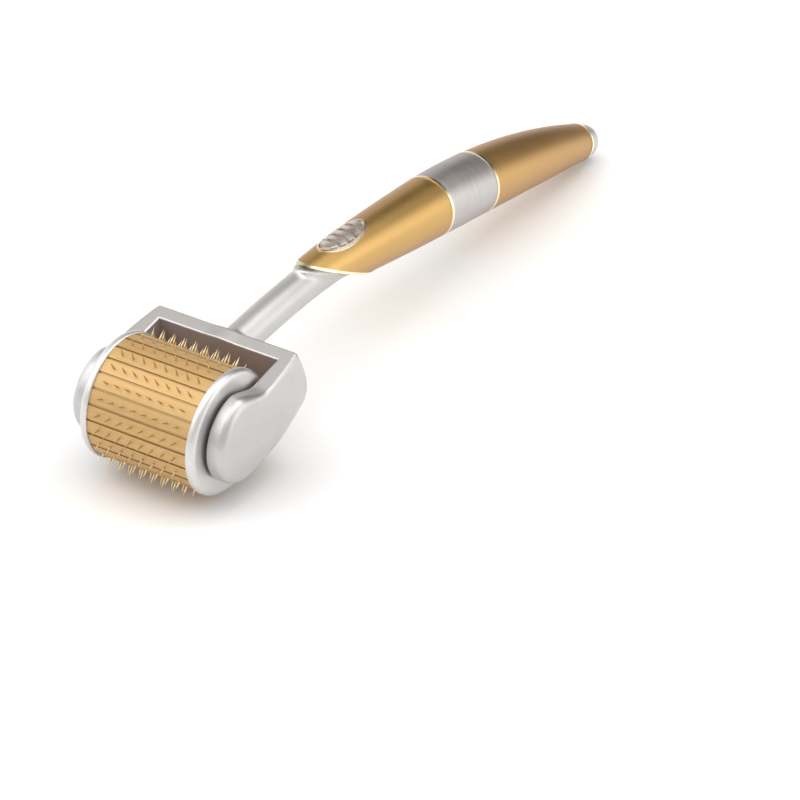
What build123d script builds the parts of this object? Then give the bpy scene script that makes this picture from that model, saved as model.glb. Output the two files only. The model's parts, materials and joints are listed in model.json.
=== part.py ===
from build123d import *
import os
from math import acos, atan2, cos, exp, radians, sin

# A hand-held derma roller, in millimetres. A drum carrying rows of fine needles spins on its
# axle between the arms of a U-shaped yoke, and the yoke's neck runs back into a curved handle.
#
# Every piece is drawn in the yoke's frame: X along the drum's axle, +Y back towards the tail,
# +Z square to the yoke's flat top, and the middle of the drum at the origin. The finished
# pieces are then tipped and moved together, so that the roller lies on a table at Z = 0.

# Drum: the driving size is the pitch of its needles.
NEEDLE_PITCH = 2.4
NEEDLES_PER_ROW = 8
ROW_COUNT = 24
FIRST_ROW_ANGLE = 7.0
BARREL_RADIUS = 4.9 * NEEDLE_PITCH
BARREL_LENGTH = 9.08 * NEEDLE_PITCH
BARREL_BORE_RADIUS = 10.0
GROOVE_WIDTH = 0.5
GROOVE_DEPTH = 0.3
NEEDLE_RADIUS = 0.2
NEEDLE_STAND_OUT = 2.0
NEEDLE_POINT_LENGTH = 1.5
NEEDLE_HEAD_RADIUS = 0.4
NEEDLE_HEAD_THICKNESS = 0.25

FLANGE_RADIUS = BARREL_RADIUS + 0.4
FLANGE_THICKNESS = 1.75
FLANGE_RIM_ROUNDING = 1.1
SPIGOT_LENGTH = 2.0

# Axle and the two flanged bushes that it turns in.
AXLE_RADIUS = 1.5
AXLE_END_CHAMFER = 0.3
RUNNING_CLEARANCE = 0.05
END_CLEARANCE = 0.08
BUSH_RADIUS = 2.6
BUSH_DEPTH = 1.7
BUSH_FLANGE_RADIUS = 4.2
AXLE_SHORT_OF_BORE = 0.3

# Yoke: a crossbar with two paddle-shaped arms and a round neck.
ARM_GAP = 0.5
OPENING_HALF_WIDTH = BARREL_LENGTH / 2 + FLANGE_THICKNESS + ARM_GAP
ARM_THICKNESS = 3.95
YOKE_HALF_WIDTH = OPENING_HALF_WIDTH + ARM_THICKNESS
CROSSBAR_FRONT = 15.7
CROSSBAR_THICKNESS = 3.15
CROSSBAR_BACK = CROSSBAR_FRONT + CROSSBAR_THICKNESS
YOKE_TOP = 5.87
YOKE_BOTTOM_AT_BACK = -6.0
ARM_DISC_RADIUS = 8.7
ARM_TOP_FLAT_ENDS = 7.8
ARM_TOP_MIDWAY = (3.9, 7.35)
SIDE_BEVEL_DEPTH = 1.1
SIDE_BEVEL_REACH = 3.5
SIDE_EDGE_ROUNDING = 0.8
SMALL_ROUNDING = 0.3

# Neck: the middles of its sections from inside the crossbar to inside the handle, as (Y, Z).
NECK_RADIUS = 3.3
NECK_LINE = [
    (17.4, 1.15),
    (20.5, 1.05),
    (25.0, 0.7),
    (32.5, -0.2),
    (39.5, -1.0),
    (48.0, -2.3),
    (59.0, -5.2),
]
ROOT_FLARE = 1.35
ROOT_FLARE_LENGTH = 1.6

# Handle: a straight middle length between two long bends that both turn the same way. Stations
# are counted along it towards the tail, and the straight starts at STRAIGHT_POINT, as (Y, Z).
STRAIGHT_START = 26.0
STRAIGHT_POINT = (64.92, -6.73)
STRAIGHT_END = 44.0
HANDLE_SLOPE = 16.6
FRONT_BEND_RADIUS = 320.0
REAR_BEND_RADIUS = 342.0
BELLY_RADIUS = 6.48
BELLY_STATION = 55.0
FRONT_TAPER_LENGTH = 100.7
FRONT_TAPER_POWER = 1.5
REAR_TAPER_LENGTH = 75.5
REAR_TAPER_POWER = 2.2
SHELL_WALL = 1.3

# The handle's nose is trimmed on a slant. A thin trim edges the cut, and a silver collar,
# wedge-shaped from the side, fills the mouth below it.
NOSE_STATION = 2.6
NOSE_CUT_SLOPE = 38.0
NOSE_TRIM_WIDTH = 0.5
NOSE_TRIM_STAND_OUT = 0.08
COLLAR_SLOPE = 34.7
COLLAR_DEPTH = 1.3
COLLAR_INSET = 0.5

RING_WIDTH = 0.7
RING_STAND_OUT = 0.12
FRONT_RING_STATION = 46.3
REAR_RING_STATION = 62.9
TAIL_RING_STATION = 104.8
END_CAP_LENGTH = 5.6
END_CAP_SPIGOT_LENGTH = 5.0

FIT_GAP = 0.05
TANG_END_STATION = 30.0
JOINER_WALL = 1.4
JOINER_OVERLAP = 10.0

# Oval badge on top of the handle, and the dowel that it covers.
BADGE_STATION = 16.0
BADGE_HALF_LENGTH = 7.3
BADGE_HALF_WIDTH = 3.0
BEZEL_WIDTH = 0.45
BEZEL_STAND_OUT = 0.2
POCKET_DEPTH = 0.7
PLATE_SINK = 0.25
RIB_COUNT = 5
RIB_PITCH = 2.4
RIB_WIDTH = 1.4
RIB_STAND_OUT = 0.45
RIB_END_MARGIN = 0.35
DOWEL_RADIUS = 1.0
DOWEL_LENGTH = 4.5
DOWEL_SINK = 0.15

# The roller lies tipped back on its drum and its tail.
REST_TILT = 10.3


def along_x(start, end, radius, inner_radius=0.0):
    """A rod or a tube on the drum's axis, from X = start to X = end."""
    plane = Plane(origin=(start, 0, 0), x_dir=(0, 1, 0), z_dir=(1, 0, 0))
    rod = extrude(plane * Circle(radius), end - start)
    if inner_radius:
        rod -= extrude(plane * Circle(inner_radius), end - start)
    return rod


# The handle's centreline and thickness.


def handle_slope(station):
    """Downward slope of the centreline, in radians."""
    front_turn = max(0.0, STRAIGHT_START - station) / FRONT_BEND_RADIUS
    rear_turn = max(0.0, station - STRAIGHT_END) / REAR_BEND_RADIUS
    return radians(HANDLE_SLOPE) - front_turn + rear_turn


def handle_point(station):
    slope = radians(HANDLE_SLOPE)
    straight = min(max(station, STRAIGHT_START), STRAIGHT_END) - STRAIGHT_START
    bend_radius = FRONT_BEND_RADIUS if station < STRAIGHT_START else REAR_BEND_RADIUS
    bent_slope = handle_slope(station)
    y = STRAIGHT_POINT[0] + straight * cos(slope) + bend_radius * (sin(bent_slope) - sin(slope))
    z = STRAIGHT_POINT[1] - straight * sin(slope) + bend_radius * (cos(bent_slope) - cos(slope))
    return (0, y, z)


def handle_radius(station):
    if station < BELLY_STATION:
        thinning = ((BELLY_STATION - station) / FRONT_TAPER_LENGTH) ** FRONT_TAPER_POWER
    else:
        thinning = ((station - BELLY_STATION) / REAR_TAPER_LENGTH) ** REAR_TAPER_POWER
    return BELLY_RADIUS * (1 - thinning)


def section_plane(station):
    """Plane across the handle, facing the tail, with its own +Y pointing up."""
    slope = handle_slope(station)
    return Plane(origin=handle_point(station), x_dir=(-1, 0, 0), z_dir=(0, cos(slope), -sin(slope)))


def surface_plane(station):
    """Plane through the centreline, facing straight up out of the handle's top."""
    slope = handle_slope(station)
    return Plane(origin=handle_point(station), x_dir=(1, 0, 0), z_dir=(0, sin(slope), cos(slope)))


def handle_body(start, end, grow=0.0):
    """The handle's solid form between two stations, grown or shrunk all round."""
    steps = max(3, round((end - start) / 7))
    stations = [start + (end - start) * i / steps for i in range(steps + 1)]
    return loft([section_plane(s) * Circle(handle_radius(s) + grow) for s in stations])


def slanting_plane(cut_slope, set_back):
    """A plane through the nose's tip that slants down and back below it, facing the handle."""
    tip = section_plane(NOSE_STATION).from_local_coords(Vector(0, handle_radius(NOSE_STATION), 0))
    angle = radians(cut_slope)
    normal = Vector(0, sin(angle), cos(angle))
    return Plane(origin=tip + normal * set_back, x_dir=(1, 0, 0), z_dir=normal)


def behind_nose(solid, set_back=0.0):
    return split(solid, bisect_by=slanting_plane(NOSE_CUT_SLOPE, set_back), keep=Keep.TOP)


def before_nose(solid, set_back=0.0):
    return split(solid, bisect_by=slanting_plane(NOSE_CUT_SLOPE, set_back), keep=Keep.BOTTOM)


# Drum.


def make_barrel():
    half = BARREL_LENGTH / 2
    barrel = along_x(-half, half, BARREL_RADIUS, BARREL_BORE_RADIUS)
    groove = Pos(0, 0, BARREL_RADIUS) * Box(BARREL_LENGTH, GROOVE_WIDTH, 2 * GROOVE_DEPTH)
    row_step = 360 / ROW_COUNT
    return barrel - [
        Rot(X=row_angle(row) + row_step / 2) * groove for row in range(ROW_COUNT)
    ]


def row_angle(row):
    """Turn about X that carries the upright needle to the place of its row."""
    return 90 - FIRST_ROW_ANGLE - row * 360 / ROW_COUNT


def make_needle():
    """One needle standing along +Z: a flat head under the barrel's wall, a shank and a point."""
    head_top = BARREL_BORE_RADIUS
    tip = BARREL_RADIUS + NEEDLE_STAND_OUT
    outline = Polyline(
        (0, head_top - NEEDLE_HEAD_THICKNESS),
        (NEEDLE_HEAD_RADIUS, head_top - NEEDLE_HEAD_THICKNESS),
        (NEEDLE_HEAD_RADIUS, head_top),
        (NEEDLE_RADIUS, head_top),
        (NEEDLE_RADIUS, tip - NEEDLE_POINT_LENGTH),
        (0, tip),
        close=True,
    )
    return revolve(Plane.XZ * make_face(outline), Axis.Z)


def make_needles():
    needle = make_needle()
    middle = (NEEDLES_PER_ROW - 1) / 2
    places = [(i - middle) * NEEDLE_PITCH for i in range(NEEDLES_PER_ROW)]
    return [
        Rot(X=row_angle(row)) * Pos(x, 0, 0) * needle for row in range(ROW_COUNT) for x in places
    ]


def make_needle_core():
    half = BARREL_LENGTH / 2 - SPIGOT_LENGTH
    return along_x(-half, half, BARREL_BORE_RADIUS - NEEDLE_HEAD_THICKNESS, AXLE_RADIUS)


def make_flange():
    """The flange at the drum's +X end, with the spigot that plugs into the barrel."""
    inner = BARREL_LENGTH / 2
    outer = inner + FLANGE_THICKNESS
    disc = along_x(inner, outer, FLANGE_RADIUS)
    rims = disc.edges().filter_by(GeomType.CIRCLE).sort_by(Axis.X)
    disc = fillet(rims[-1], FLANGE_RIM_ROUNDING)
    disc = fillet(disc.edges().filter_by(GeomType.CIRCLE).sort_by(Axis.X)[0], SMALL_ROUNDING)
    spigot = along_x(inner - SPIGOT_LENGTH, inner, BARREL_BORE_RADIUS)
    return disc + spigot - along_x(inner - SPIGOT_LENGTH, outer, AXLE_RADIUS)


def make_axle():
    half = OPENING_HALF_WIDTH + BUSH_DEPTH - AXLE_SHORT_OF_BORE
    axle = along_x(-half, half, AXLE_RADIUS)
    return chamfer(axle.edges().filter_by(GeomType.CIRCLE), AXLE_END_CHAMFER)


def make_bush():
    """The bush in the +X arm: a sleeve in the arm's bore and a flange that spaces the drum."""
    bore = AXLE_RADIUS + RUNNING_CLEARANCE
    mouth = OPENING_HALF_WIDTH
    sleeve = along_x(mouth, mouth + BUSH_DEPTH, BUSH_RADIUS, bore)
    return sleeve + along_x(mouth - ARM_GAP + END_CLEARANCE, mouth, BUSH_FLANGE_RADIUS, bore)


# Yoke.


def arm_profile():
    """Side view of an arm and the crossbar's end, in the YZ plane."""
    corner = Vector(CROSSBAR_BACK, YOKE_BOTTOM_AT_BACK)
    touch = atan2(corner.Y, corner.X) - acos(ARM_DISC_RADIUS / corner.length)
    bottom = (ARM_DISC_RADIUS * cos(touch), ARM_DISC_RADIUS * sin(touch))
    back_top = (CROSSBAR_BACK, YOKE_TOP)
    flat_end = (ARM_TOP_FLAT_ENDS, YOKE_TOP)
    outline = [
        Line(bottom, corner),
        Line(corner, back_top),
        Line(back_top, flat_end),
        Spline(flat_end, ARM_TOP_MIDWAY, (0, ARM_DISC_RADIUS), tangents=[(-1, 0), (-1, 0)]),
        ThreePointArc((0, ARM_DISC_RADIUS), (-ARM_DISC_RADIUS, 0), bottom),
    ]
    return Plane.YZ * make_face(outline)


def make_fork():
    """The U-shaped head: both arms and the crossbar, with their outer sides bevelled all round."""
    fork = extrude(arm_profile(), YOKE_HALF_WIDTH, both=True)
    reach = 2 * ARM_DISC_RADIUS
    opening = Box(2 * OPENING_HALF_WIDTH, reach + CROSSBAR_FRONT, 2 * reach)
    fork -= Pos(0, (CROSSBAR_FRONT - reach) / 2, 0) * opening
    sides = fork.faces().filter_by(Axis.X).sort_by(Axis.X)
    fork = chamfer(sides[0].edges() + sides[-1].edges(), SIDE_BEVEL_DEPTH, SIDE_BEVEL_REACH)
    rim_place = YOKE_HALF_WIDTH - SIDE_BEVEL_DEPTH
    flat_edges = fork.edges().filter_by(Plane.YZ)
    rims = flat_edges.filter_by(lambda edge: abs(abs(edge.center().X) - rim_place) < 0.01)
    return fillet(rims, SIDE_EDGE_ROUNDING)


def make_neck():
    """The round neck, flared where it leaves the crossbar."""
    sections = []
    ends = NECK_LINE[:-1]
    for (y, z), (next_y, next_z) in zip(ends, NECK_LINE[1:]):
        flare = ROOT_FLARE * exp(-max(0.0, y - CROSSBAR_BACK) / ROOT_FLARE_LENGTH)
        plane = Plane(origin=(0, y, z), x_dir=(-1, 0, 0), z_dir=(0, next_y - y, next_z - z))
        sections.append(plane * Circle(NECK_RADIUS + flare))
    last_y, last_z = NECK_LINE[-1]
    slope = radians(HANDLE_SLOPE)
    last = Plane(origin=(0, last_y, last_z), x_dir=(-1, 0, 0), z_dir=(0, cos(slope), -sin(slope)))
    sections.append(last * Circle(NECK_RADIUS))
    return before_nose(loft(sections))


def make_tang():
    """The plug at the neck's end: a tang inside the front shell and the collar below its mouth."""
    tang = behind_nose(handle_body(0, TANG_END_STATION, -SHELL_WALL - FIT_GAP))
    collar = before_nose(handle_body(0, TANG_END_STATION, -COLLAR_INSET))
    collar = split(collar, bisect_by=slanting_plane(COLLAR_SLOPE, -COLLAR_DEPTH), keep=Keep.TOP)
    return tang + collar


def make_yoke():
    yoke = make_fork() + make_neck() + make_tang() - make_dowel()
    for side in (-1, 1):
        depth = side * (OPENING_HALF_WIDTH + BUSH_DEPTH)
        yoke -= along_x(min(0, depth), max(0, depth), BUSH_RADIUS)
    return yoke


# Handle.


def make_front_shell():
    end = FRONT_RING_STATION - RING_WIDTH / 2
    shell = handle_body(-2, end) - handle_body(-4, end + 1, -SHELL_WALL)
    shell = behind_nose(shell, NOSE_TRIM_WIDTH)
    return shell - badge_layer(0, -POCKET_DEPTH, 1) - make_dowel()


def make_nose_trim():
    """The bright edging round the slanting mouth of the front shell."""
    band = handle_body(-2, TANG_END_STATION, NOSE_TRIM_STAND_OUT)
    band -= handle_body(-4, TANG_END_STATION + 1, -SHELL_WALL)
    return before_nose(behind_nose(band), NOSE_TRIM_WIDTH)


def make_rear_shell():
    start = REAR_RING_STATION + RING_WIDTH / 2
    end = TAIL_RING_STATION - RING_WIDTH / 2
    return handle_body(start, end) - handle_body(start - 1, end + 1, -SHELL_WALL)


def make_centre_band():
    start = FRONT_RING_STATION + RING_WIDTH / 2
    end = REAR_RING_STATION - RING_WIDTH / 2
    return handle_body(start, end) - handle_body(start - 1, end + 1, -SHELL_WALL)


def make_ring(station):
    """A thin polished ring that stands slightly proud between two handle sections."""
    start = station - RING_WIDTH / 2
    end = station + RING_WIDTH / 2
    ring = handle_body(start, end, RING_STAND_OUT)
    return ring - handle_body(start - 1, end + 1, -SHELL_WALL)


def make_joiner():
    """The liner tube that the two shells, the band and the rings slide onto."""
    start = FRONT_RING_STATION - JOINER_OVERLAP
    end = REAR_RING_STATION + JOINER_OVERLAP
    outside = handle_body(start, end, -SHELL_WALL - FIT_GAP)
    return outside - handle_body(start - 1, end + 1, -SHELL_WALL - JOINER_WALL)


def make_end_cap():
    """The rounded cap that closes the tail, with a spigot into the rear shell."""
    start = TAIL_RING_STATION + RING_WIDTH / 2
    radius = handle_radius(start)
    dome_depth = END_CAP_LENGTH - RING_WIDTH
    shoulder = (0.74 * radius, 0.78 * dome_depth)
    profile = Plane.XY * make_face(
        [
            Line((0, 0), (radius, 0)),
            Spline((radius, 0), shoulder, (0, dome_depth), tangents=[(-0.18, 1), (-1, 0)]),
            Line((0, dome_depth), (0, 0)),
        ]
    )
    dome = section_plane(start) * (Rot(X=90) * revolve(profile, Axis.Y))
    spigot = handle_body(start - END_CAP_SPIGOT_LENGTH, start, -SHELL_WALL - FIT_GAP)
    return dome + spigot


# Badge.


def badge_oval(inset):
    """An upright oval prism through the handle's top, inset from the badge's outline."""
    oval = Ellipse(BADGE_HALF_WIDTH - inset, BADGE_HALF_LENGTH - inset)
    return extrude(surface_plane(BADGE_STATION) * oval, 2 * BELLY_RADIUS)


def badge_layer(inset, low, high):
    """The part of that prism between two heights over the handle's surface."""
    start = BADGE_STATION - BADGE_HALF_LENGTH - 2
    end = BADGE_STATION + BADGE_HALF_LENGTH + 2
    layer = handle_body(start, end, high) - handle_body(start - 1, end + 1, low)
    return layer & badge_oval(inset)


def make_badge_bezel():
    return badge_layer(0, -POCKET_DEPTH, BEZEL_STAND_OUT) - badge_oval(BEZEL_WIDTH)


def make_badge_plate():
    return badge_layer(BEZEL_WIDTH, -POCKET_DEPTH, -PLATE_SINK)


def make_badge_ribs():
    """Plain cross ribs standing on the plate."""
    surface = surface_plane(BADGE_STATION)
    middle = (RIB_COUNT - 1) / 2
    ribs = badge_layer(BEZEL_WIDTH + RIB_END_MARGIN, -PLATE_SINK, RIB_STAND_OUT)
    bars = [
        surface * Pos(0, (i - middle) * RIB_PITCH, BELLY_RADIUS)
        * Box(2 * BADGE_HALF_WIDTH, RIB_WIDTH, 2 * BELLY_RADIUS)
        for i in range(RIB_COUNT)
    ]
    return [ribs & bar for bar in bars]


def make_dowel():
    """The pin under the badge that holds the front shell on the tang."""
    top = handle_radius(BADGE_STATION) - POCKET_DEPTH - DOWEL_SINK
    dowel = Pos(0, 0, top - DOWEL_LENGTH / 2) * Cylinder(DOWEL_RADIUS, DOWEL_LENGTH)
    return surface_plane(BADGE_STATION) * dowel


def make_parts():
    flange = make_flange()
    bush = make_bush()
    return {
        "yoke": make_yoke(),
        "left_bush": mirror(bush, Plane.YZ),
        "right_bush": bush,
        "nose_trim": make_nose_trim(),
        "front_shell": make_front_shell(),
        "front_ring": make_ring(FRONT_RING_STATION),
        "centre_band": make_centre_band(),
        "rear_ring": make_ring(REAR_RING_STATION),
        "rear_shell": make_rear_shell(),
        "tail_ring": make_ring(TAIL_RING_STATION),
        "end_cap": make_end_cap(),
        "joiner": make_joiner(),
        "badge_bezel": make_badge_bezel(),
        "badge_plate": make_badge_plate(),
        "badge_ribs": make_badge_ribs(),
        "tang_dowel": make_dowel(),
        "barrel": make_barrel(),
        "needles": make_needles(),
        "needle_core": make_needle_core(),
        "axle": make_axle(),
        "left_flange": mirror(flange, Plane.YZ),
        "right_flange": flange,
    }


def solids_of(piece):
    pieces = piece if isinstance(piece, (list, tuple)) else [piece]
    return [solid for item in pieces for solid in item.solids()]


def main():
    """Lay the roller on the table, centre it over the origin and write each piece."""
    tilt = Rot(X=REST_TILT)
    parts = {name: [tilt * solid for solid in solids_of(piece)] for name, piece in make_parts().items()}
    box = Compound(children=[solid for solids in parts.values() for solid in solids]).bounding_box()
    table = Pos(-(box.min.X + box.max.X) / 2, -(box.min.Y + box.max.Y) / 2, -box.min.Z)
    os.makedirs("parts", exist_ok=True)
    for name, solids in parts.items():
        placed = Compound([table * solid for solid in solids])
        export_step(placed, f"parts/{name}.step")
    print("drum axis passes through", table.position)


if __name__ == "__main__":
    main()
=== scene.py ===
import json
import math

import bpy
import numpy as np
from mathutils import Matrix, Vector


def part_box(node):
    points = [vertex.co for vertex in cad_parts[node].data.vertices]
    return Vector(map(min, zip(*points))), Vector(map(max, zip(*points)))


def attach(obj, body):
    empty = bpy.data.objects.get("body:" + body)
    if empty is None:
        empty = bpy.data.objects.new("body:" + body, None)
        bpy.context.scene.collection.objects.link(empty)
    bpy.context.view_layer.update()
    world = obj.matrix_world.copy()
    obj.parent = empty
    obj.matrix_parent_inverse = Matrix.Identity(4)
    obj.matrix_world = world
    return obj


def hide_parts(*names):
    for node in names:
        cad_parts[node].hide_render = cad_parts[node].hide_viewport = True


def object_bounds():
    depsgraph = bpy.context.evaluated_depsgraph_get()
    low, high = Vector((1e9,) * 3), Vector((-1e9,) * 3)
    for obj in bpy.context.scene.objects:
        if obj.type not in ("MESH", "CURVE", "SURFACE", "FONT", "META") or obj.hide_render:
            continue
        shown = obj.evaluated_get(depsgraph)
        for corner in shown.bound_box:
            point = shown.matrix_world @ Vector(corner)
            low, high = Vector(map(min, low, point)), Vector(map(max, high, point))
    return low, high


# The looks of a derma roller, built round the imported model.
#
# Shapes are drawn in millimetres in the yoke's own frame: X along the drum's axle, +Y back to the
# tail, +Z square to the yoke's flat top, and the middle of the drum at the origin. The roller lies
# tipped back on the table, so to_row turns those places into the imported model's frame, in metres.

MM = 0.001
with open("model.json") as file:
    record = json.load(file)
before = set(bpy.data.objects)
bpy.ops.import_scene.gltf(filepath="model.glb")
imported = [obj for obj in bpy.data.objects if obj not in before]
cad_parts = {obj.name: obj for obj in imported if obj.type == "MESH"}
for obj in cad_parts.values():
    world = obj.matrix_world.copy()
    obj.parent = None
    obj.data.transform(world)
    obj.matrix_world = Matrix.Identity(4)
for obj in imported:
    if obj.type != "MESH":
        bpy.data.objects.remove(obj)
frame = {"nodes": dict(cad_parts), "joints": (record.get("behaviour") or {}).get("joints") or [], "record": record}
cad_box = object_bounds()
nodes = frame["nodes"]
spin = next(joint for joint in frame["joints"] if joint["name"] == "drum_spin")
flat_top = next(mount for mount in frame["record"]["mounts"] if mount["name"] == "yoke_top_face")
drum_middle = Vector(spin["pos_m"])
tip_back = math.atan2(-flat_top["axis"][1], flat_top["axis"][2])
yoke_turn = Matrix.Rotation(tip_back, 3, "X")


def to_row(points):
    """Places in the yoke's frame, in mm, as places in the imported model's frame, in metres."""
    return np.asarray(points, float) @ np.array(yoke_turn).T * MM + np.array(drum_middle)


# Shader building.


class Shader:
    """A Principled material with short calls for the nodes that feed it."""

    def __init__(self, name, metallic, roughness):
        self.material = bpy.data.materials.new(name)
        self.material.use_nodes = True
        self.tree = self.material.node_tree
        self.surface = self.tree.nodes["Principled BSDF"]
        self.surface.inputs["Metallic"].default_value = metallic
        self.surface.inputs["Roughness"].default_value = roughness
        self.place = self.new("ShaderNodeTexCoord").outputs["Object"]

    def new(self, kind, **inputs):
        node = self.tree.nodes.new(kind)
        for name, value in inputs.items():
            self.feed(node.inputs[name.replace("_", " ")], value)
        return node

    def feed(self, socket, value):
        """Links an output to the socket, or sets the socket's own value."""
        if isinstance(value, bpy.types.NodeSocket):
            self.tree.links.new(value, socket)
        else:
            socket.default_value = value

    def maths(self, operation, *values):
        node = self.tree.nodes.new("ShaderNodeMath")
        node.operation = operation
        for socket, value in zip(node.inputs, values):
            self.feed(socket, value)
        return node.outputs[0]

    def stretched(self, direction, length, width):
        """The place in lengths along one direction and in widths across it."""
        turn = Vector(direction).normalized().to_track_quat("Z", "Y").inverted()
        mapping = self.new("ShaderNodeMapping", Vector=self.place)
        mapping.inputs["Rotation"].default_value = turn.to_euler()
        scaling = self.new("ShaderNodeVectorMath", Vector=mapping.outputs[0])
        scaling.operation = "MULTIPLY"
        scaling.inputs[1].default_value = (1 / width, 1 / width, 1 / length)
        return scaling.outputs[0]

    def noise(self, size=1.0, detail=2.0, place=None):
        """Smooth noise from 0 to 1 whose lumps are about size across."""
        at = self.place if place is None else place
        node = self.new("ShaderNodeTexNoise", Vector=at, Scale=1 / size, Detail=detail)
        return node.outputs["Fac"]

    def cells(self, size):
        """A random value from 0 to 1 for each small cell, such as a metallic flake."""
        node = self.new("ShaderNodeTexVoronoi", Vector=self.place, Scale=1 / size)
        value = self.new("ShaderNodeSeparateColor", Color=node.outputs["Color"])
        return value.outputs[0]

    def spread(self, value, low, high, start=0.0, end=1.0):
        """Maps value from start..end to low..high."""
        node = self.new("ShaderNodeMapRange", Value=value)
        for name, bound in zip(("From Min", "From Max", "To Min", "To Max"), (start, end, low, high)):
            node.inputs[name].default_value = bound
        return node.outputs[0]

    def blend(self, factor, first, second):
        node = self.tree.nodes.new("ShaderNodeMix")
        node.data_type = "RGBA"
        self.feed(node.inputs["Factor"], factor)
        self.feed(node.inputs["A"], first)
        self.feed(node.inputs["B"], second)
        return node.outputs["Result"]

    def bump(self, height, distance, strength=1.0, under=None):
        node = self.new("ShaderNodeBump", Height=height, Distance=distance, Strength=strength)
        if under is not None:
            self.feed(node.inputs["Normal"], under)
        return node.outputs[0]

    def set(self, **inputs):
        for name, value in inputs.items():
            self.feed(self.surface.inputs[name.replace("_", " ")], value)


def rgb(red, green, blue):
    return (red, green, blue, 1.0)


def edge_wear_and_highlight(shader, radius):
    """1 on rounded edges, 0 on open faces, broken up by noise."""
    rounded = shader.new("ShaderNodeBevel", Radius=radius)
    geometry = shader.new("ShaderNodeNewGeometry")
    dot = shader.tree.nodes.new("ShaderNodeVectorMath")
    dot.operation = "DOT_PRODUCT"
    shader.feed(dot.inputs[0], rounded.outputs[0])
    shader.feed(dot.inputs[1], geometry.outputs["Normal"])
    edge = shader.spread(dot.outputs["Value"], 1.0, 0.0, 0.90, 0.995)
    return shader.maths("MULTIPLY", edge, shader.spread(shader.noise(1.5 * MM), 0.0, 1.0, 0.45, 0.65))


# Shapes as distance fields: a field gives each place's distance to a surface, negative inside it.

YOKE_SIDE = 17.05
YOKE_BACK = 18.83
YOKE_TOP = 5.87
YOKE_FOOT = -6.0
ARM_RADIUS = 8.69
ARM_SHOULDER = 7.8
ARM_DISC_STEPS = 40
ARM_SHOULDER_STEPS = 14

# How far the outer sides fall away at the height of the yoke's top.
SIDE_SAG = 0.25
SIDE_SAG_AT_BACK = 1.6
SIDE_SAG_START = 6.0

# Radius of the outer edges round the discs and at the crossbar, and the span of Y where it changes.
DISC_EDGE_ROUNDING = 1.7
CROSSBAR_EDGE_ROUNDING = 0.55
ROUNDING_CHANGE = (1.0, 9.0)

OPENING_SIDE = 13.146
OPENING_BACK = 15.7
OPENING_EDGE_ROUNDING = 0.3
BORE_RADIUS = 2.6
BORE_DEPTH = 1.7

# The neck's centreline is a cubic curve through these places, as (Y, Z).
NECK_RADIUS = 3.3
NECK_LINE = [(17.4, 1.15), (25.0, 0.7), (32.5, -0.2), (39.5, -1.0), (48.0, -2.3), (59.0, -5.2)]
NECK_START = OPENING_BACK + 0.5
NECK_ROOT_ROUNDING = 2.6

# The front of the handle is one long bend that ends in a straight length, at STRAIGHT_POINT, as
# (Y, Z). Stations are counted along the centreline towards the tail. The handle is thickest at its
# belly and thins towards the nose.
STRAIGHT_START = 26.0
STRAIGHT_POINT = (64.92, -6.73)
HANDLE_SLOPE = math.radians(16.6)
FRONT_BEND_RADIUS = 320.0
BELLY_RADIUS = 6.48
BELLY_STATION = 55.0
FRONT_TAPER_LENGTH = 100.7
FRONT_TAPER_POWER = 1.5

# The collar fills the handle's mouth, below the slanting cut of its nose.
NOSE_STATION = 2.6
NOSE_SLOPE = math.radians(38.0)
COLLAR_START_STATION = -3.0
COLLAR_SLOPE = math.radians(34.7)
COLLAR_DEPTH = 0.9
COLLAR_INSET = 0.75
COLLAR_EDGE_ROUNDING = 0.25
COLLAR_ROOT_ROUNDING = 1.5

# The grid on which the yoke's surface is found, the space that it leaves round the yoke, and how
# near the opening's walls a face counts as one of them. With this space, no flat face of the yoke
# lies on a layer of the grid, which would collapse some of the mesh's faces.
GRID_STEP = 0.35
GRID_MARGIN = 0.6
WALL_TOLERANCE = 0.05
YOKE_LOWEST = -11.9
YOKE_FARTHEST = 61.7


def round_cut(first, second, radius):
    """What is inside both fields, with the edge between them rounded."""
    corner = np.hypot(np.maximum(first + radius, 0), np.maximum(second + radius, 0))
    return np.minimum(np.maximum(first, second), -radius) + corner


def soft_join(first, second, radius):
    """What is inside either field, with a soft hollow where they meet."""
    share = np.clip(0.5 + 0.5 * (second - first) / radius, 0, 1)
    return second + (first - second) * share - radius * share * (1 - share)


def smooth_step(value, start, end):
    share = np.clip((value - start) / (end - start), 0, 1)
    return share * share * (3 - 2 * share)


def outline_distance(y, z, outline):
    """Distance to a closed outline in the YZ plane, negative inside it."""
    nearest = np.full(np.broadcast(y, z).shape, np.inf)
    inside = np.zeros(nearest.shape, bool)
    for (y0, z0), (y1, z1) in zip(outline, outline[1:] + outline[:1]):
        run, rise = y1 - y0, z1 - z0
        share = np.clip(((y - y0) * run + (z - z0) * rise) / (run**2 + rise**2), 0, 1)
        nearest = np.minimum(nearest, np.hypot(y - y0 - share * run, z - z0 - share * rise))
        if rise:
            crosses = (z0 <= z) != (z1 <= z)
            inside ^= crosses & (y < y0 + (z - z0) * run / rise)
    return np.where(inside, -nearest, nearest)


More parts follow.
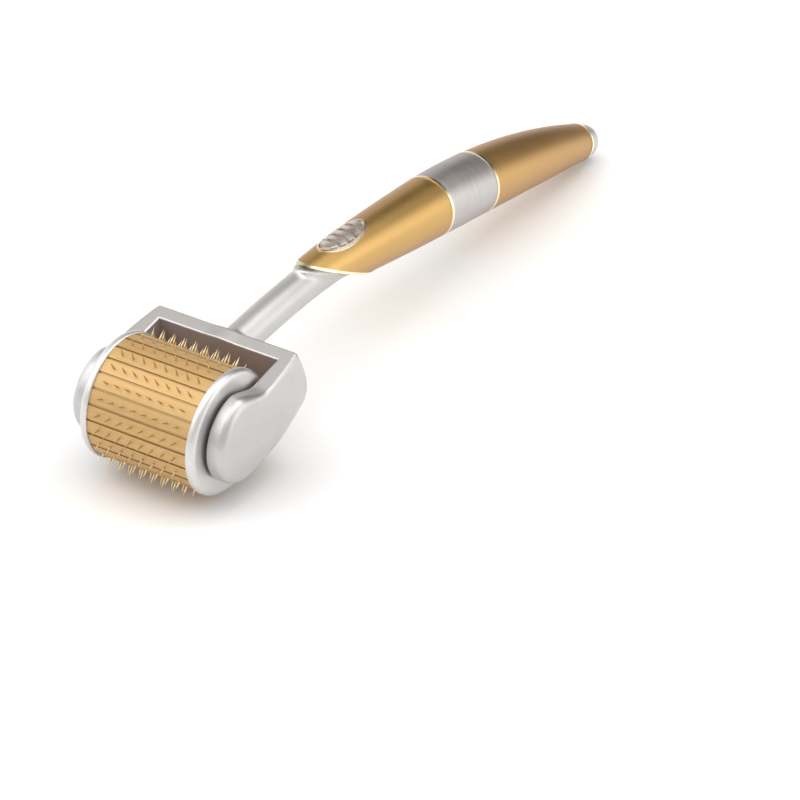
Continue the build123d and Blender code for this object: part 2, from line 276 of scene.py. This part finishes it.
def arm_outline():
    """Side view of an arm: the crossbar's end, the shoulder, the disc and the straight under-edge."""
    reach = math.hypot(YOKE_BACK, YOKE_FOOT)
    touch = math.atan2(YOKE_FOOT, YOKE_BACK) - math.acos(ARM_RADIUS / reach)
    outline = [(YOKE_BACK, YOKE_FOOT), (YOKE_BACK, YOKE_TOP)]
    for share in np.linspace(0, 1, ARM_SHOULDER_STEPS, endpoint=False):
        rise = (ARM_RADIUS - YOKE_TOP) * smooth_step(share, 0, 1)
        outline.append((ARM_SHOULDER * (1 - share), YOKE_TOP + rise))
    for angle in np.linspace(math.pi / 2, touch + 2 * math.pi, ARM_DISC_STEPS):
        outline.append((ARM_RADIUS * math.cos(angle), ARM_RADIUS * math.sin(angle)))
    return outline


def fork_field(x, y, z):
    """Both arms and the crossbar: outer sides that bulge, softer edges round the arms' discs."""
    towards_back = np.clip((y - SIDE_SAG_START) / (YOKE_BACK - SIDE_SAG_START), 0, 1)
    sag = SIDE_SAG + (SIDE_SAG_AT_BACK - SIDE_SAG) * towards_back**2
    side = np.abs(x) - YOKE_SIDE + sag * (z / YOKE_TOP) ** 2
    change = smooth_step(y, *ROUNDING_CHANGE)
    rounding = DISC_EDGE_ROUNDING + (CROSSBAR_EDGE_ROUNDING - DISC_EDGE_ROUNDING) * change
    return round_cut(outline_distance(y, z, arm_outline()), side, rounding)


def cut_fields(x, y, z):
    """The drum's opening between the arms, and the bushes' bores in them."""
    opening = np.maximum(np.abs(x) - OPENING_SIDE, y - OPENING_BACK)
    bores = np.maximum(np.hypot(y, z) - BORE_RADIUS, np.abs(x) - OPENING_SIDE - BORE_DEPTH)
    return opening, bores


def neck_field(x, y, z):
    line = np.polyfit(*zip(*NECK_LINE), 3)
    across = (z - np.polyval(line, y)) * np.cos(np.arctan(np.polyval(np.polyder(line), y)))
    return np.maximum(np.hypot(x, across) - NECK_RADIUS, NECK_START - y)


def handle_slope(station):
    """Downward slope of the handle's centreline, at a station before its straight length."""
    return HANDLE_SLOPE - (STRAIGHT_START - station) / FRONT_BEND_RADIUS


def handle_middle(station):
    """(Y, Z) of the centreline there."""
    slope = handle_slope(station)
    y = STRAIGHT_POINT[0] + FRONT_BEND_RADIUS * (math.sin(slope) - math.sin(HANDLE_SLOPE))
    z = STRAIGHT_POINT[1] + FRONT_BEND_RADIUS * (math.cos(slope) - math.cos(HANDLE_SLOPE))
    return y, z


def handle_radius(station):
    thinning = ((BELLY_STATION - station) / FRONT_TAPER_LENGTH) ** FRONT_TAPER_POWER
    return BELLY_RADIUS * (1 - thinning)


def nose_height(y, z, slope, drop):
    """Height over a plane that slants down and back, drop below the nose's tip."""
    middle_y, middle_z = handle_middle(NOSE_STATION)
    tip_y = middle_y + handle_radius(NOSE_STATION) * math.sin(handle_slope(NOSE_STATION))
    tip_z = middle_z + handle_radius(NOSE_STATION) * math.cos(handle_slope(NOSE_STATION))
    return (y - tip_y) * math.sin(slope) + (z - tip_z) * math.cos(slope) + drop


def collar_field(x, y, z):
    """The handle's form, a little smaller, down to the slanting lower face of the collar."""
    off_line = np.full(np.broadcast(y, z).shape, np.inf)
    radius = np.zeros(off_line.shape)
    for station in np.arange(COLLAR_START_STATION, STRAIGHT_START):
        middle_y, middle_z = handle_middle(station)
        off = np.hypot(y - middle_y, z - middle_z)
        radius = np.where(off < off_line, handle_radius(station), radius)
        off_line = np.minimum(off, off_line)
    form = np.hypot(x, off_line) - radius + COLLAR_INSET
    lower_face = -nose_height(y, z, COLLAR_SLOPE, COLLAR_DEPTH)
    return round_cut(form, lower_face, COLLAR_EDGE_ROUNDING)


def yoke_field(x, y, z):
    """The whole yoke: fork, neck and collar, trimmed along the nose's cut and cut open for the drum."""
    body = soft_join(fork_field(x, y, z), neck_field(x, y, z), NECK_ROOT_ROUNDING)
    body = soft_join(body, collar_field(x, y, z), COLLAR_ROOT_ROUNDING)
    body = np.maximum(body, nose_height(y, z, NOSE_SLOPE, 0.0))
    opening, bores = cut_fields(x, y, z)
    return np.maximum(round_cut(body, -opening, OPENING_EDGE_ROUNDING), -bores)


def slopes(field, points, reach=0.02):
    """The field's gradient at each point."""
    steps = np.eye(3) * reach
    return np.stack([field(*(points + s).T) - field(*(points - s).T) for s in steps], 1) / (2 * reach)


def surface_of(field, low, high, step):
    """Corners and quads of a field's zero surface: one corner in each grid cell that it crosses."""
    axes = [np.arange(start, end + step, step) for start, end in zip(low, high)]
    grid = field(axes[0][:, None, None], axes[1][None, :, None], axes[2][None, None, :])
    cells = np.array(grid.shape) - 1
    total = np.zeros((*cells, 3))
    count = np.zeros(cells, int)
    quads = []
    for axis, side, other in ((0, 1, 2), (1, 2, 0), (2, 0, 1)):
        turned = grid.transpose(axis, side, other)
        near, far = turned[:-1], turned[1:]
        crossed = (near < 0) != (far < 0)
        # A grid line on the outside of the grid has no four cells round it.
        crossed[:, [0, -1]] = False
        crossed[:, :, [0, -1]] = False
        cell = np.zeros((crossed.sum(), 3), int)
        cell[:, [axis, side, other]] = np.argwhere(crossed)
        place = cell.astype(float)
        place[:, axis] += near[crossed] / (near[crossed] - far[crossed])
        ring = []
        for side_step, other_step in ((-1, -1), (0, -1), (0, 0), (-1, 0)):
            around = cell.copy()
            around[:, side] += side_step
            around[:, other] += other_step
            np.add.at(total, tuple(around.T), place)
            np.add.at(count, tuple(around.T), 1)
            ring.append(np.ravel_multi_index(tuple(around.T), tuple(cells)))
        ring = np.stack(ring, 1)
        leaving = near[crossed] < 0
        ring[~leaving] = ring[~leaving][:, ::-1]
        quads.append(ring)
    used = np.flatnonzero(count)
    order = np.zeros(count.size, int)
    order[used] = np.arange(len(used))
    corners = total.reshape(-1, 3)[used] / count.reshape(-1, 1)[used]
    return np.array(low) + corners * step, order[np.concatenate(quads)]


def settle(field, points, rounds=4, least_steepness=0.2):
    """Moves points onto the field's zero surface."""
    for _ in range(rounds):
        slope = slopes(field, points)
        steepness = np.maximum((slope**2).sum(1), least_steepness)
        points = points - slope * (field(*points.T) / steepness)[:, None]
    return points


# Pieces.


def yoke_mesh(points, faces, materials):
    """A smooth mesh named after the cast yoke, from places in the yoke's frame."""
    mesh = bpy.data.meshes.new("cast_yoke")
    mesh.from_pydata(to_row(points).tolist(), [], faces.tolist())
    mesh.polygons.foreach_set("use_smooth", [True] * len(mesh.polygons))
    for material in materials:
        mesh.materials.append(material)
    return mesh


def add_yoke(silver):
    """The cast yoke with its soft edges and the hollow at the neck's root."""
    low = np.array((-YOKE_SIDE, -ARM_RADIUS, YOKE_LOWEST)) - GRID_MARGIN
    high = np.array((YOKE_SIDE, YOKE_FARTHEST, ARM_RADIUS)) + GRID_MARGIN
    points, faces = surface_of(yoke_field, low, high, GRID_STEP)
    points = settle(yoke_field, points)
    # The second material is painted shade for the walls of the drum's opening.
    mesh = yoke_mesh(points, faces, [silver, wall_painted_shade()])
    yoke = bpy.data.objects.new("cast_yoke", mesh)
    bpy.context.scene.collection.objects.link(yoke)
    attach(yoke, "handle")
    middles = points[faces].mean(1)
    in_width = np.abs(middles[:, 0]) < OPENING_SIDE + WALL_TOLERANCE
    # Faces on the walls of the drum's opening get the painted shade material.
    walls = in_width & (middles[:, 1] < OPENING_BACK + WALL_TOLERANCE)
    mesh.polygons.foreach_set("material_index", walls.astype(np.int32))
    normals = slopes(yoke_field, points) @ np.array(yoke_turn).T
    normals /= np.linalg.norm(normals, axis=1, keepdims=True)
    mesh.normals_split_custom_set_from_vertices(normals.tolist())
    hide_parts("yoke")


# Materials.

# Depth of the grooves between the barrel's rows of needles.
GROOVE_DEPTH = 0.3 * MM


def middle(node):
    low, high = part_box(node)
    return (low + high) / 2


def handle_run():
    """The way from the front of the handle's band to its rear."""
    return middle("rear_ring") - middle("front_ring")


def scratches(shader, direction):
    """1 on a few faint hairlines that run roughly in one direction, 0 elsewhere."""
    hairs = shader.stretched(direction, length=9 * MM, width=0.12 * MM)
    lines = shader.noise(detail=1.0, place=hairs)
    patches = shader.spread(shader.noise(4 * MM), 0.0, 1.0, 0.5, 0.62)
    return shader.maths("MULTIPLY", shader.spread(lines, 0.0, 1.0, 0.66, 0.70), patches)


def satin_silver(name, dark, light):
    """Silver paint with fine metallic flake under a satin coat, lighter on its edges and scratches: wear, with a
    painted highlight along the rounded edges.
    """
    s = Shader(name, metallic=0.85, roughness=0.36)
    flake = s.cells(0.09 * MM)
    cloud = s.noise(6 * MM)
    tone = s.blend(s.spread(flake, 0.25, 0.75), dark, light)
    tone = s.blend(s.spread(cloud, 0.0, 0.25, 0.4, 0.6), tone, dark)
    # The rounded-edge mask is partly wear and partly a painted highlight along the edges.
    rubbed_and_highlit = edge_wear_and_highlight(s, 0.35 * MM)
    scuffs_and_edge_highlight = s.maths("MAXIMUM", rubbed_and_highlit, s.maths("MULTIPLY", scratches(s, (0.6, 1, 0.2)), 0.4))
    # Edges and scratches are lightened: the scratches are wear, and the rounded edges are wear with a painted
    # highlight.
    tone = s.blend(s.maths("MULTIPLY", scuffs_and_edge_highlight, 0.6), tone, rgb(0.86, 0.84, 0.81))
    rough = s.maths("ADD", s.spread(s.noise(0.5 * MM), 0.31, 0.41), s.spread(cloud, -0.04, 0.04))
    rough = s.maths("SUBTRACT", rough, s.maths("MULTIPLY", rubbed_and_highlit, 0.12))
    peel = s.bump(s.noise(0.9 * MM, 3.0), 0.02 * MM, 0.5)
    s.set(Base_Color=tone, Roughness=rough, Normal=s.bump(flake, 0.003 * MM, 0.25, peel))
    s.set(Coat_Weight=0.2, Coat_Roughness=0.2)
    return s.material


def wall_painted_shade():
    """Dull grey-brown painted shade on the walls round the drum, darker than the yoke's silver to stand for the
    shade inside the opening.
    """
    s = Shader("wall_painted_shade", metallic=0.3, roughness=0.55)
    cloud = s.noise(5 * MM)
    # Painted shade: dark grey-brown stands for the shade on the opening's walls.
    tone = s.blend(cloud, rgb(0.31, 0.26, 0.25), rgb(0.43, 0.36, 0.34))
    s.set(Base_Color=tone, Roughness=s.spread(s.noise(0.4 * MM), 0.5, 0.65))
    s.set(Normal=s.bump(s.noise(0.5 * MM, 3.0), 0.02 * MM, 0.5))
    return s.material


def satin_gold():
    """Gold anodised shell with a fine blasted grain under a thin clear coat, with painted shade darkening it
    towards the tail.
    """
    s = Shader("satin_gold", metallic=1.0, roughness=0.34)
    grain = s.noise(0.12 * MM, 3.0)
    cloud = s.noise(9 * MM)
    run = s.new("ShaderNodeSeparateXYZ", Vector=s.place).outputs["Y"]
    tail_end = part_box("end_cap")[1].y
    to_tail = s.spread(run, 0.0, 1.0, middle("front_ring").y, tail_end)
    tone = s.blend(s.spread(grain, 0.2, 0.8, 0.3, 0.7), rgb(0.55, 0.34, 0.10), rgb(0.69, 0.44, 0.155))
    tone = s.blend(s.spread(cloud, 0.0, 0.2, 0.4, 0.6), tone, rgb(0.60, 0.365, 0.14))
    # Painted shade: the colour darkens towards the tail, where the shell lies in less light.
    tone = s.blend(s.maths("MULTIPLY", to_tail, 0.45), tone, rgb(0.52, 0.31, 0.14))
    worn = scratches(s, handle_run())
    tone = s.blend(s.maths("MULTIPLY", worn, 0.3), tone, rgb(0.86, 0.62, 0.30))
    rough = s.maths("ADD", s.spread(grain, 0.29, 0.39, 0.3, 0.7), s.spread(cloud, -0.03, 0.03))
    rough = s.maths("ADD", rough, s.maths("MULTIPLY", to_tail, 0.12))
    s.set(Base_Color=tone, Roughness=rough, Normal=s.bump(grain, 0.008 * MM, 0.35))
    s.set(Specular_Tint=rgb(0.66, 0.64, 0.80), Coat_Weight=0.3, Coat_Roughness=0.3)
    return s.material


def polished_gold():
    """Diamond-cut bright gold, with faint turning lines."""
    s = Shader("polished_gold", metallic=1.0, roughness=0.2)
    smear = s.noise(2 * MM)
    tone = s.blend(smear, rgb(0.97, 0.86, 0.62), rgb(1.0, 0.92, 0.72))
    s.set(Base_Color=tone, Roughness=s.spread(smear, 0.14, 0.28))
    s.set(Normal=s.bump(s.noise(0.15 * MM), 0.004 * MM, 0.3))
    return s.material


def brushed_silver():
    """Silver brushed round the handle's girth: its fine lines lie across the handle."""
    s = Shader("brushed_silver", metallic=1.0, roughness=0.38)
    lines = s.noise(detail=3.0, place=s.stretched(handle_run(), length=0.09 * MM, width=6 * MM))
    cloud = s.noise(5 * MM)
    tone = s.blend(s.spread(lines, 0.0, 1.0, 0.3, 0.7), rgb(0.50, 0.475, 0.455), rgb(0.64, 0.615, 0.60))
    rough = s.maths("ADD", s.spread(lines, 0.33, 0.45, 0.3, 0.7), s.spread(cloud, -0.04, 0.04))
    s.set(Base_Color=tone, Roughness=rough, Normal=s.bump(lines, 0.008 * MM, 0.3))
    s.set(Specular_Tint=rgb(0.68, 0.68, 0.74), Coat_Weight=0.15, Coat_Roughness=0.25)
    return s.material


def badge_metal(name, dark, light, rough):
    """Smooth plated metal, slightly smeared."""
    s = Shader(name, metallic=1.0, roughness=rough)
    smear = s.noise(1.5 * MM)
    grain = s.noise(0.3 * MM, 3.0)
    s.set(Base_Color=s.blend(smear, dark, light), Roughness=s.spread(smear, rough - 0.06, rough + 0.08))
    s.set(Normal=s.bump(grain, 0.006 * MM, 0.4))
    return s.material


def groove_walls(shader):
    """1 between the barrel's surface and the floor of its grooves, 0 on both."""
    barrel_low, barrel_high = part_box("barrel")
    off_axis = shader.new("ShaderNodeVectorMath", Vector=shader.place)
    off_axis.operation = "SUBTRACT"
    off_axis.inputs[1].default_value = drum_middle
    across = shader.new("ShaderNodeVectorMath", Vector=off_axis.outputs[0])
    across.operation = "MULTIPLY"
    across.inputs[1].default_value = (0, 1, 1)
    radius = shader.new("ShaderNodeVectorMath", Vector=across.outputs[0])
    radius.operation = "LENGTH"
    depth = shader.maths("SUBTRACT", (barrel_high - barrel_low).y / 2, radius.outputs["Value"])
    wall = shader.spread(depth, 0.0, 1.0, 0.04 * MM, 0.12 * MM)
    groove_floor = shader.spread(depth, 0.0, 0.6, GROOVE_DEPTH - 0.06 * MM, GROOVE_DEPTH - 0.02 * MM)
    return shader.maths("SUBTRACT", wall, groove_floor)


def drum_gold():
    """Metallised peach-gold barrel, drawn lengthwise, with painted shade darkening the walls of its grooves."""
    s = Shader("drum_gold", metallic=0.55, roughness=0.45)
    lines = s.noise(place=s.stretched((1, 0, 0), length=5 * MM, width=0.12 * MM))
    cloud = s.noise(3 * MM)
    tone = s.blend(s.spread(lines, 0.1, 0.9, 0.3, 0.7), rgb(0.49, 0.31, 0.125), rgb(0.64, 0.425, 0.19))
    # Painted shade: the grooves' walls are darkened towards dark brown, where shade falls in them.
    groove_painted_shade = s.maths("MULTIPLY", groove_walls(s), 0.5)
    tone = s.blend(groove_painted_shade, tone, rgb(0.16, 0.095, 0.035))
    rough = s.maths("ADD", s.spread(lines, 0.40, 0.52, 0.3, 0.7), s.spread(cloud, -0.04, 0.04))
    s.set(Base_Color=tone, Roughness=rough, Normal=s.bump(lines, 0.006 * MM, 0.35))
    return s.material


def needle_gold():
    s = Shader("needle_gold", metallic=1.0, roughness=0.24)
    smear = s.noise(0.6 * MM)
    tone = s.blend(smear, rgb(0.58, 0.43, 0.22), rgb(0.86, 0.69, 0.42))
    s.set(Base_Color=tone, Roughness=s.spread(smear, 0.18, 0.32))
    s.set(Normal=s.bump(s.noise(0.1 * MM), 0.004 * MM, 0.3))
    return s.material


def ground_steel():
    s = Shader("ground_steel", metallic=1.0, roughness=0.3)
    lines = s.noise(place=s.stretched((1, 0, 0), length=0.08 * MM, width=4 * MM))
    tone = s.blend(lines, rgb(0.42, 0.42, 0.43), rgb(0.60, 0.60, 0.61))
    s.set(Base_Color=tone, Roughness=s.spread(lines, 0.22, 0.38), Normal=s.bump(lines, 0.01 * MM, 0.4))
    return s.material


def moulded_plastic(name, dark, light):
    s = Shader(name, metallic=0.0, roughness=0.5)
    grain = s.noise(0.25 * MM, 3.0)
    s.set(Base_Color=s.blend(grain, dark, light), Roughness=s.spread(grain, 0.42, 0.6))
    s.set(Normal=s.bump(grain, 0.01 * MM, 0.4))
    return s.material


def floor_paper():
    s = Shader("floor_paper", metallic=0.0, roughness=0.7)
    grain = s.noise(1.2 * MM, 4.0)
    s.set(Base_Color=s.blend(grain, rgb(0.86, 0.86, 0.86), rgb(0.89, 0.89, 0.89)))
    s.set(Normal=s.bump(grain, 0.02 * MM, 0.2))
    return s.material


def paint(node_names, material):
    """Gives a material to every slot of the named CAD nodes."""
    for name in node_names:
        for slot in nodes[name].material_slots:
            slot.link = "OBJECT"
            slot.material = material


def dress_cad_nodes(silver):
    paint(["yoke", "end_cap"], silver)
    flange_silver = satin_silver("flange_silver", rgb(0.60, 0.59, 0.585), rgb(0.75, 0.74, 0.735))
    paint(["left_flange", "right_flange"], flange_silver)
    paint(["front_shell", "rear_shell"], satin_gold())
    paint(["nose_trim", "front_ring", "rear_ring", "tail_ring"], polished_gold())
    paint(["centre_band"], brushed_silver())
    paint(["badge_bezel"], badge_metal("badge_chrome", rgb(0.90, 0.80, 0.66), rgb(1.0, 0.92, 0.80), 0.2))
    paint(["badge_plate"], badge_metal("badge_nickel", rgb(0.42, 0.36, 0.31), rgb(0.56, 0.49, 0.43), 0.4))
    paint(["badge_ribs"], badge_metal("badge_steel", rgb(0.80, 0.755, 0.70), rgb(0.95, 0.91, 0.86), 0.28))
    paint(["barrel"], drum_gold())
    paint(["needles"], needle_gold())
    paint(["axle", "tang_dowel"], ground_steel())
    acetal = moulded_plastic("white_acetal", rgb(0.72, 0.72, 0.7), rgb(0.8, 0.8, 0.78))
    paint(["left_bush", "right_bush"], acetal)
    dark_plastic = moulded_plastic("dark_plastic", rgb(0.05, 0.05, 0.05), rgb(0.08, 0.08, 0.08))
    paint(["joiner", "needle_core"], dark_plastic)


# Stage, light and camera, in metres and watts.

FLOOR_WIDTH = 12.0
ROOM_LIGHT = 0.75
SHADE_TINT = rgb(1.0, 0.88, 0.80)
FULL_TINT = rgb(1.0, 0.995, 0.985)

# Panels in the studio's walls: azimuth, elevation, degrees to where a panel starts to fade and to
# where it ends, and how much it adds to the room's light. A dark panel takes light away.
STUDIO_PANELS = [
    (177, 23, 17, 38, -0.68),
    (226, 50, 8, 26, -0.32),
    (152, 57, 8, 25, 1.2),
    (121, 17, 12, 38, 1.05),
    (-42, 46, 10, 38, 1.15),
    (272, 14, 14, 42, 0.75),
]


def add_floor():
    """A wide pale floor under the roller."""
    half = FLOOR_WIDTH / 2
    mesh = bpy.data.meshes.new("floor")
    corners = [(-half, -half, 0), (half, -half, 0), (half, half, 0), (-half, half, 0)]
    mesh.from_pydata(corners, [], [(0, 1, 2, 3)])
    mesh.materials.append(floor_paper())
    floor = bpy.data.objects.new("floor", mesh)
    bpy.context.scene.collection.objects.link(floor)


def direction(azimuth, elevation):
    """Unit vector from the object towards a place seen at that azimuth and elevation."""
    a = math.radians(azimuth)
    e = math.radians(elevation)
    return Vector((math.sin(a) * math.cos(e), -math.cos(a) * math.cos(e), math.sin(e)))


def add_softbox(name, azimuth, elevation, distance, width, power):
    """A square softbox that faces the middle of the object."""
    light = bpy.data.lights.new(name, "AREA")
    light.shape = "RECTANGLE"
    light.size = light.size_y = width
    light.energy = power
    lamp = bpy.data.objects.new(name, light)
    target = (cad_box[0] + cad_box[1]) / 2
    towards = direction(azimuth, elevation)
    lamp.location = target + towards * distance
    lamp.rotation_mode = "QUATERNION"
    lamp.rotation_quaternion = towards.to_track_quat("Z", "Y")
    bpy.context.scene.collection.objects.link(lamp)


def add_lobe(tree, light, azimuth, elevation, inner, outer, change):
    """The light with change added round one direction, fading out from inner to outer degrees."""
    place = tree.nodes.new("ShaderNodeTexCoord")
    dot = tree.nodes.new("ShaderNodeVectorMath")
    dot.operation = "DOT_PRODUCT"
    tree.links.new(place.outputs["Generated"], dot.inputs[0])
    dot.inputs[1].default_value = direction(azimuth, elevation)
    fade = tree.nodes.new("ShaderNodeMapRange")
    fade.interpolation_type = "SMOOTHSTEP"
    bounds = (math.cos(math.radians(outer)), math.cos(math.radians(inner)), 0.0, change)
    for name, bound in zip(("From Min", "From Max", "To Min", "To Max"), bounds):
        fade.inputs[name].default_value = bound
    tree.links.new(dot.outputs["Value"], fade.inputs["Value"])
    total = tree.nodes.new("ShaderNodeMath")
    total.operation = "ADD"
    tree.links.new(light, total.inputs[0])
    tree.links.new(fade.outputs[0], total.inputs[1])
    return total.outputs[0]


def add_world():
    """The studio's walls: an even room, bright panels round it and two dark ones behind the tail."""
    world = bpy.data.worlds.new("studio")
    bpy.context.scene.world = world
    world.use_nodes = True
    tree = world.node_tree
    base = tree.nodes.new("ShaderNodeValue")
    base.outputs[0].default_value = ROOM_LIGHT
    light = base.outputs[0]
    for azimuth, elevation, inner, outer, change in STUDIO_PANELS:
        light = add_lobe(tree, light, azimuth, elevation, inner, outer, change)
    tint = tree.nodes.new("ShaderNodeMix")
    tint.data_type = "RGBA"
    tint.inputs["A"].default_value = SHADE_TINT
    tint.inputs["B"].default_value = FULL_TINT
    background = tree.nodes["Background"]
    tree.links.new(light, tint.inputs["Factor"])
    tree.links.new(tint.outputs["Result"], background.inputs["Color"])
    tree.links.new(light, background.inputs["Strength"])


def add_lights():
    add_world()
    add_softbox("overhead", azimuth=0, elevation=89, distance=1.0, width=1.2, power=5.0)


def add_camera():
    """A long lens in front of the drum, to its +X side."""
    azimuth, elevation, roll = 32.3, 31.88, 1.0
    distance = 911.1 * MM
    aim = drum_middle + Vector((33.6, 24.0, 2.1)) * MM
    lens = bpy.data.cameras.new("camera")
    lens.sensor_width = 36.0
    lens.lens = 225.0
    camera = bpy.data.objects.new("camera", lens)
    towards = direction(azimuth, elevation)
    turn = towards.to_track_quat("Z", "Y").to_matrix() @ Matrix.Rotation(math.radians(roll), 3, "Z")
    camera.matrix_world = Matrix.Translation(aim + towards * distance) @ turn.to_4x4()
    bpy.context.scene.collection.objects.link(camera)
    bpy.context.scene.camera = camera


yoke_silver = satin_silver("satin_silver", rgb(0.48, 0.47, 0.47), rgb(0.62, 0.61, 0.61))
dress_cad_nodes(yoke_silver)
add_yoke(yoke_silver)
add_floor()
add_lights()
add_camera()
bpy.context.scene.view_settings.view_transform = "Standard"
